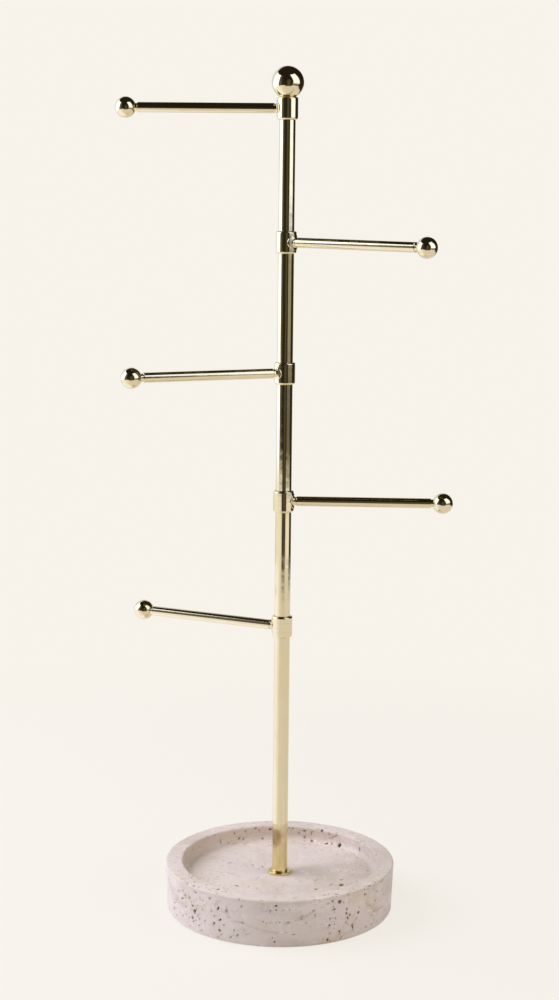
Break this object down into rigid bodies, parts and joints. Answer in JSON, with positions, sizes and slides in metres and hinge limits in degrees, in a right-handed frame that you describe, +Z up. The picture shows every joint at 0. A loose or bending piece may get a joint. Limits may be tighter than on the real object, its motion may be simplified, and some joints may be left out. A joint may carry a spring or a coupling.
{
  "type": "jewellery tree stand",
  "caption": "Free-standing jewellery tree: round stone tray with a shallow recess, slim gold post, swivelling side arms with ball ends at stepped heights, and a ball on top.",
  "frame": {"origin": "middle of the underside, on the surface that the stand rests on", "axes": "+Z up along the post; -Y is the side seen in the picture, +X to its right"},
  "size_m": [0.1719, 0.12, 0.4335],
  "materials": {
    "stone": "honed pale travertine with small open pits and faint veins",
    "gold_metal": "polished pale champagne-gold plating",
    "steel": "turned, zinc-plated, hidden inside the post and the tray",
    "felt": "dense matte felt"
  },
  "bodies": {
    "stand": {"stone_tray": "stone", "felt_pad": "felt", "base_bolt": "steel", "base_washer": "steel", "foot_ring": "gold_metal", "post_tube_1": "gold_metal", "tube_insert_1": "steel", "swivel_stud_1": "steel", "post_tube_2": "gold_metal", "tube_insert_2": "steel", "swivel_stud_2": "steel", "post_tube_3": "gold_metal", "tube_insert_3": "steel", "swivel_stud_3": "steel", "post_tube_4": "gold_metal", "tube_insert_4": "steel", "swivel_stud_4": "steel", "post_tube_5": "gold_metal", "tube_insert_5": "steel", "swivel_stud_5": "steel", "finial_ball": "gold_metal"},
    "swing_arm_1": {"collar_1": "gold_metal", "arm_1": "gold_metal", "arm_ball_1": "gold_metal"},
    "swing_arm_2": {"collar_2": "gold_metal", "arm_2": "gold_metal", "arm_ball_2": "gold_metal"},
    "swing_arm_3": {"collar_3": "gold_metal", "arm_3": "gold_metal", "arm_ball_3": "gold_metal"},
    "swing_arm_4": {"collar_4": "gold_metal", "arm_4": "gold_metal", "arm_ball_4": "gold_metal"},
    "swing_arm_5": {"collar_5": "gold_metal", "arm_5": "gold_metal", "arm_ball_5": "gold_metal"}
  },
  "joints": [
    {"name": "arm_1_swivel", "type": "hinge", "parent": "stand", "child": "swing_arm_1", "pos_m": [0, 0, 0.151], "axis": [0, 0, 1], "continuous": true},
    {"name": "arm_2_swivel", "type": "hinge", "parent": "stand", "child": "swing_arm_2", "pos_m": [0, 0, 0.2165], "axis": [0, 0, 1], "continuous": true},
    {"name": "arm_3_swivel", "type": "hinge", "parent": "stand", "child": "swing_arm_3", "pos_m": [0, 0, 0.282], "axis": [0, 0, 1], "continuous": true},
    {"name": "arm_4_swivel", "type": "hinge", "parent": "stand", "child": "swing_arm_4", "pos_m": [0, 0, 0.3475], "axis": [0, 0, 1], "continuous": true},
    {"name": "arm_5_swivel", "type": "hinge", "parent": "stand", "child": "swing_arm_5", "pos_m": [0, 0, 0.413], "axis": [0, 0, 1], "continuous": true}
  ]
}
